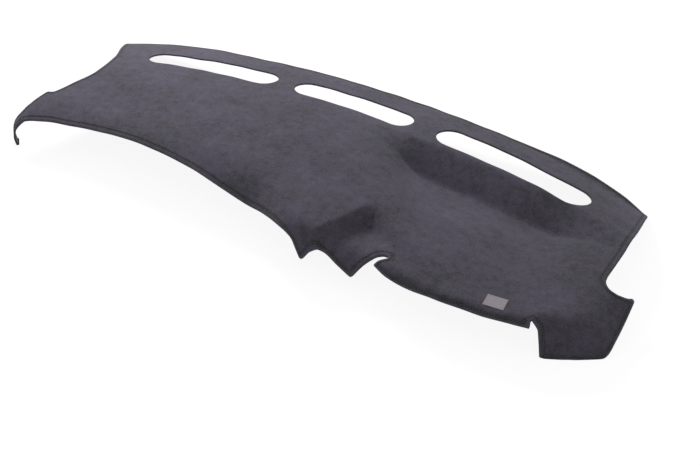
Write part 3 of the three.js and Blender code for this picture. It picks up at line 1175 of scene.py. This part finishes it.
@dataclass
class StitchRow:
    """A row of lockstitches: short rounded runs of thread lying in a line on the cloth."""

    shape: MouldedShape
    pitch: float = 5.6
    length: float = 4.3
    width: float = 1.0
    height: float = 0.75
    sides: int = 6
    rings: int = 5
    sink: float = 0.35
    least_gap: float = 0.5
    most_gap: float = 1.5

    def build(
        self, name: str, lines: list[np.ndarray], lift: float, finish: ThreadFinish
    ) -> bpy.types.Object:
        """Builds stitches along lines on the pattern.

        Args:
            name: The piece's name.
            lines: Lines on the pattern, in millimetres.
            lift: Height of the thread's middle above the moulded surface.
            finish: The thread's finish.

        Returns:
            The stitches as one object.
        """
        centres, headings = [], []
        for line in lines:
            even = spaced(line, self.pitch, with_end=True)
            gap = np.linalg.norm(np.diff(even, axis=0), axis=1)
            ok = (gap > self.least_gap * self.pitch) & (gap < self.most_gap * self.pitch)
            centres.append(((even[1:] + even[:-1]) / 2)[ok])
            headings.append(((even[1:] - even[:-1]) / np.maximum(gap, TINY)[:, None])[ok])
        centre, heading = np.concatenate(centres), np.concatenate(headings)
        ahead = self.shape.top(centre + heading) - self.shape.top(centre - heading)
        ahead /= np.linalg.norm(ahead, axis=1)[:, None]
        outward = self.shape.normal(centre)
        side = np.cross(outward, ahead)
        base = self.shape.top(centre) + outward * lift
        local, local_faces = self.one_stitch()
        places = (
            base[:, None, :]
            + local[None, :, 0, None] * ahead[:, None, :]
            + local[None, :, 1, None] * side[:, None, :]
            + local[None, :, 2, None] * outward[:, None, :]
        ).reshape(-1, 3)
        faces = [[k + i * len(local) for k in face] for i in range(len(base)) for face in local_faces]
        return piece_of(name, self.shape.in_frame(places), faces, finish.material())

    def one_stitch(self) -> tuple[np.ndarray, list[list[int]]]:
        """One stitch, a rounded run of thread.

        Returns:
            Its points and its faces.
        """
        turns = [math.pi * k / (self.rings + 1) for k in range(1, self.rings + 1)]
        dip = self.height * self.sink
        points = [(-self.length / 2, 0.0, -dip)]
        for turn in turns:
            swell = math.sin(turn) ** 0.5
            x = -self.length / 2 * math.cos(turn)
            for k in range(self.sides):
                round_it = 2 * math.pi * k / self.sides
                y = self.width / 2 * swell * math.cos(round_it)
                z = self.height / 2 * swell * math.sin(round_it) - dip * (1 - swell)
                points.append((x, y, z))
        points.append((self.length / 2, 0.0, -dip))
        last = len(points) - 1
        faces = [[0, 1 + (k + 1) % self.sides, 1 + k] for k in range(self.sides)]
        for ring in range(self.rings - 1):
            here, there = 1 + ring * self.sides, 1 + (ring + 1) * self.sides
            for k in range(self.sides):
                nxt = (k + 1) % self.sides
                faces.append([here + k, here + nxt, there + nxt, there + k])
        tail = 1 + (self.rings - 1) * self.sides
        faces += [[last, tail + k, tail + (k + 1) % self.sides] for k in range(self.sides)]
        return np.array(points), faces


@dataclass
class TapeLabel:
    """The plain woven tape sewn flat near the hood's edge."""

    shape: MouldedShape
    centre: tuple[float, float] = (437.0, -233.0)
    length: float = 38.0
    depth: float = 30.0
    thickness: float = 0.9
    gap: float = 0.3
    turn: float = 0.085
    threads: tuple[int, int] = (38, 30)
    relief: float = 0.07
    rim_width: float = 0.6

    def on_pattern(self, local: np.ndarray) -> np.ndarray:
        """Turns and moves the label's own points to their places on the pattern.

        Args:
            local: Rows of points from the label's middle.

        Returns:
            Rows of pattern points.
        """
        c, s = math.cos(self.turn), math.sin(self.turn)
        turned = np.stack([local[:, 0] * c - local[:, 1] * s, local[:, 0] * s + local[:, 1] * c], axis=1)
        return turned + np.array(self.centre)

    def build(self, finish: TapeFinish) -> bpy.types.Object:
        """Builds the label.

        Args:
            finish: The tape's finish.

        Returns:
            The label's object.
        """
        across, down = (2 * n for n in self.threads)
        xs, ys = np.linspace(-0.5, 0.5, across + 1), np.linspace(-0.5, 0.5, down + 1)
        gx, gy = np.meshgrid(xs, ys, indexing="ij")
        local = np.stack([gx.ravel() * self.length, gy.ravel() * self.depth], axis=1)
        i, j = np.meshgrid(np.arange(across + 1), np.arange(down + 1), indexing="ij")
        weave = np.where((i + j).ravel() % 2 == 0, self.relief, -self.relief)
        to_rim = np.minimum(self.length / 2 - np.abs(local[:, 0]), self.depth / 2 - np.abs(local[:, 1]))
        rim = self.thickness / 2 * (1 - np.sqrt(share(to_rim / self.rim_width)))
        uv = self.on_pattern(local)
        surface, outward = self.shape.top(uv), self.shape.normal(uv)
        top = surface + outward * (self.gap + self.thickness + weave * share(to_rim) - rim)[:, None]
        bottom = surface + outward * (self.gap + rim)[:, None]
        count = len(local)
        number = np.arange(count).reshape(across + 1, down + 1)
        corners = [number[:-1, :-1], number[1:, :-1], number[1:, 1:], number[:-1, 1:]]
        quads = np.stack(corners, axis=-1).reshape(-1, 4)
        faces = quads.tolist() + (quads[:, ::-1] + count).tolist()
        border = [*number[:, 0], *number[-1, 1:], *number[-2::-1, -1], *number[0, -2:0:-1]]
        for k, a in enumerate(border):
            b = border[(k + 1) % len(border)]
            faces.append([b, a, a + count, b + count])
        places = self.shape.in_frame(np.concatenate([top, bottom]))
        return piece_of("tape_label", places, faces, finish.material())

    def seam(self, inside: float) -> list[np.ndarray]:
        """The four sewing lines along the label's sides.

        Args:
            inside: How far inside the sides they run.

        Returns:
            The lines, each as two pattern points.
        """
        x, y = self.length / 2 - inside, self.depth / 2 - inside
        corners = np.array([(-x, -y), (x, -y), (x, y), (-x, y), (-x, -y)])
        return [self.on_pattern(np.array([a, b])) for a, b in zip(corners[:-1], corners[1:])]


@dataclass(frozen=True)
class Softbox:
    """A square studio lamp that points at a place."""

    name: str
    place: tuple[float, float, float]
    aim: tuple[float, float, float]
    size: float
    power: float

    def hang(self) -> None:
        """Puts the lamp in the scene."""
        lamp = bpy.data.lights.new(self.name, "AREA")
        lamp.shape = "SQUARE"
        lamp.size = self.size
        lamp.energy = self.power
        made = bpy.data.objects.new(self.name, lamp)
        made.location = self.place
        made.rotation_mode = "QUATERNION"
        made.rotation_quaternion = (Vector(self.aim) - Vector(self.place)).to_track_quat("-Z", "Y")
        bpy.context.scene.collection.objects.link(made)


@dataclass(frozen=True)
class Studio:
    """White floor and surround, soft lamps, and the camera at the photograph's angle."""

    azimuth: float = 30.0
    elevation: float = 39.0
    focal_px: float = 1114.0
    camera_place: tuple[float, float, float] = (0.99915, -1.61014, 1.38405)
    sensor: float = 36.0
    floor_half: float = 9.0
    floor_drop: float = 2e-4
    floor_colour: float = 0.62
    floor_shown: float = 0.22
    floor_glow: float = 0.90
    view_depth: float = 60.0
    world_strength: float = 0.41
    lamps: tuple[Softbox, ...] = (
        Softbox("key_softbox", (-1.30, 1.07, 1.33), (0.1, -0.05, 0.05), 0.6, 26.0),
    )

    def floor(self) -> bpy.types.Object:
        """Makes a white floor that keeps the mat's shadow and shows as white to the camera.

        Returns:
            The floor's object.
        """
        made = bpy.data.materials.new("white_floor")
        made.use_nodes = True
        tree = made.node_tree
        tree.nodes.clear()
        out = node_of(tree, "ShaderNodeOutputMaterial")
        rays = node_of(tree, "ShaderNodeLightPath")
        bounce = node_of(tree, "ShaderNodeBsdfDiffuse", Color=(*[self.floor_colour] * 3, 1.0))
        shown = node_of(tree, "ShaderNodeBsdfDiffuse", Color=(*[self.floor_shown] * 3, 1.0))
        glow = node_of(tree, "ShaderNodeEmission", Strength=self.floor_glow)
        added = node_of(tree, "ShaderNodeAddShader")
        tree.links.new(shown.outputs[0], added.inputs[0])
        tree.links.new(glow.outputs[0], added.inputs[1])
        seen = rays.outputs["Is Camera Ray"]
        for ray in ("Is Glossy Ray", "Is Transmission Ray"):
            either = node_of(tree, "ShaderNodeMath", operation="MAXIMUM")
            tree.links.new(seen, either.inputs[0])
            tree.links.new(rays.outputs[ray], either.inputs[1])
            seen = either.outputs[0]
        mixed = node_of(tree, "ShaderNodeMixShader")
        tree.links.new(seen, mixed.inputs[0])
        tree.links.new(bounce.outputs[0], mixed.inputs[1])
        tree.links.new(added.outputs[0], mixed.inputs[2])
        tree.links.new(mixed.outputs[0], out.inputs["Surface"])
        ways = ((-1, -1), (1, -1), (1, 1), (-1, 1))
        corners = np.array([(x * self.floor_half, y * self.floor_half, -self.floor_drop) for x, y in ways])
        return piece_of("studio_floor", corners, [[0, 1, 2, 3]], made)

    def surround(self) -> None:
        """Lights the world evenly and shows it as white."""
        world = bpy.data.worlds.new("white_surround")
        bpy.context.scene.world = world
        world.use_nodes = True
        tree = world.node_tree
        tree.nodes.clear()
        out = node_of(tree, "ShaderNodeOutputWorld")
        rays = node_of(tree, "ShaderNodeLightPath")
        white = (1.0, 1.0, 1.0, 1.0)
        fill = node_of(tree, "ShaderNodeBackground", Color=white, Strength=self.world_strength)
        shown = node_of(tree, "ShaderNodeBackground", Color=white, Strength=1.0)
        mixed = node_of(tree, "ShaderNodeMixShader")
        tree.links.new(rays.outputs["Is Camera Ray"], mixed.inputs[0])
        tree.links.new(fill.outputs[0], mixed.inputs[1])
        tree.links.new(shown.outputs[0], mixed.inputs[2])
        tree.links.new(mixed.outputs[0], out.inputs["Surface"])

    def camera(self) -> None:
        """Puts the camera at the photograph's angle and framing."""
        turn, lift = math.radians(self.azimuth), math.radians(self.elevation)
        back = Vector((math.sin(turn) * math.cos(lift), -math.cos(turn) * math.cos(lift), math.sin(lift)))
        data = bpy.data.cameras.new("photo_camera")
        data.sensor_fit = "HORIZONTAL"
        data.sensor_width = self.sensor
        data.lens = self.focal_px * self.sensor / PHOTO_WIDTH
        data.clip_end = self.view_depth
        made = bpy.data.objects.new("photo_camera", data)
        made.location = self.camera_place
        made.rotation_mode = "QUATERNION"
        made.rotation_quaternion = (-back).to_track_quat("-Z", "Y")
        bpy.context.scene.collection.objects.link(made)
        bpy.context.scene.camera = made

    def set_up(self) -> None:
        """Makes the whole studio."""
        self.camera()
        self.floor()
        self.surround()
        for lamp in self.lamps:
            lamp.hang()
        bpy.context.scene.view_settings.view_transform = "Standard"


def main() -> None:
    """Builds the mat, its stitches and its label, and hangs each on the root body."""
    logging.basicConfig(level=logging.INFO, format="%(name)s: %(message)s")
    Studio().set_up()
    shape, pattern = MouldedShape(), FlatPattern()

    panel = MatPanel(shape, pattern)
    carpet = panel.build(CarpetFinish())
    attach(carpet, "root")
    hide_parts("mat_panel")
    LOG.info("%s: %d faces", carpet.name, len(carpet.data.polygons))

    hem_line = inset(pattern.outline(FINE_SPACING), panel.stitch_depth, FINE_SPACING * 0.4)
    hem_loop = np.vstack([hem_line, hem_line[:1]])
    thread = ThreadFinish("charcoal_thread", (0.16, 0.15, 0.17))
    hem_thread = StitchRow(shape).build("hem_stitches", [hem_loop], HEM_THREAD_LIFT, thread)
    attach(hem_thread, "root")
    LOG.info("%s: %d faces", hem_thread.name, len(hem_thread.data.polygons))

    tape = TapeLabel(shape)
    label = tape.build(TapeFinish())
    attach(label, "root")
    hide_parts("woven_label")
    LOG.info("%s: %d faces", label.name, len(label.data.polygons))

    seam = StitchRow(shape, pitch=2.9, length=2.3, width=0.55, height=0.45)
    grey = ThreadFinish("grey_thread", (0.30, 0.28, 0.31))
    label_thread = seam.build("label_stitches", tape.seam(LABEL_SEAM), LABEL_THREAD_LIFT, grey)
    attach(label_thread, "root")
    LOG.info("%s: %d faces", label_thread.name, len(label_thread.data.polygons))

    outline = pattern.outline(AREA_SPACING)
    pattern.cut_area() * MM * MM


if __name__ == "__main__":
    main()
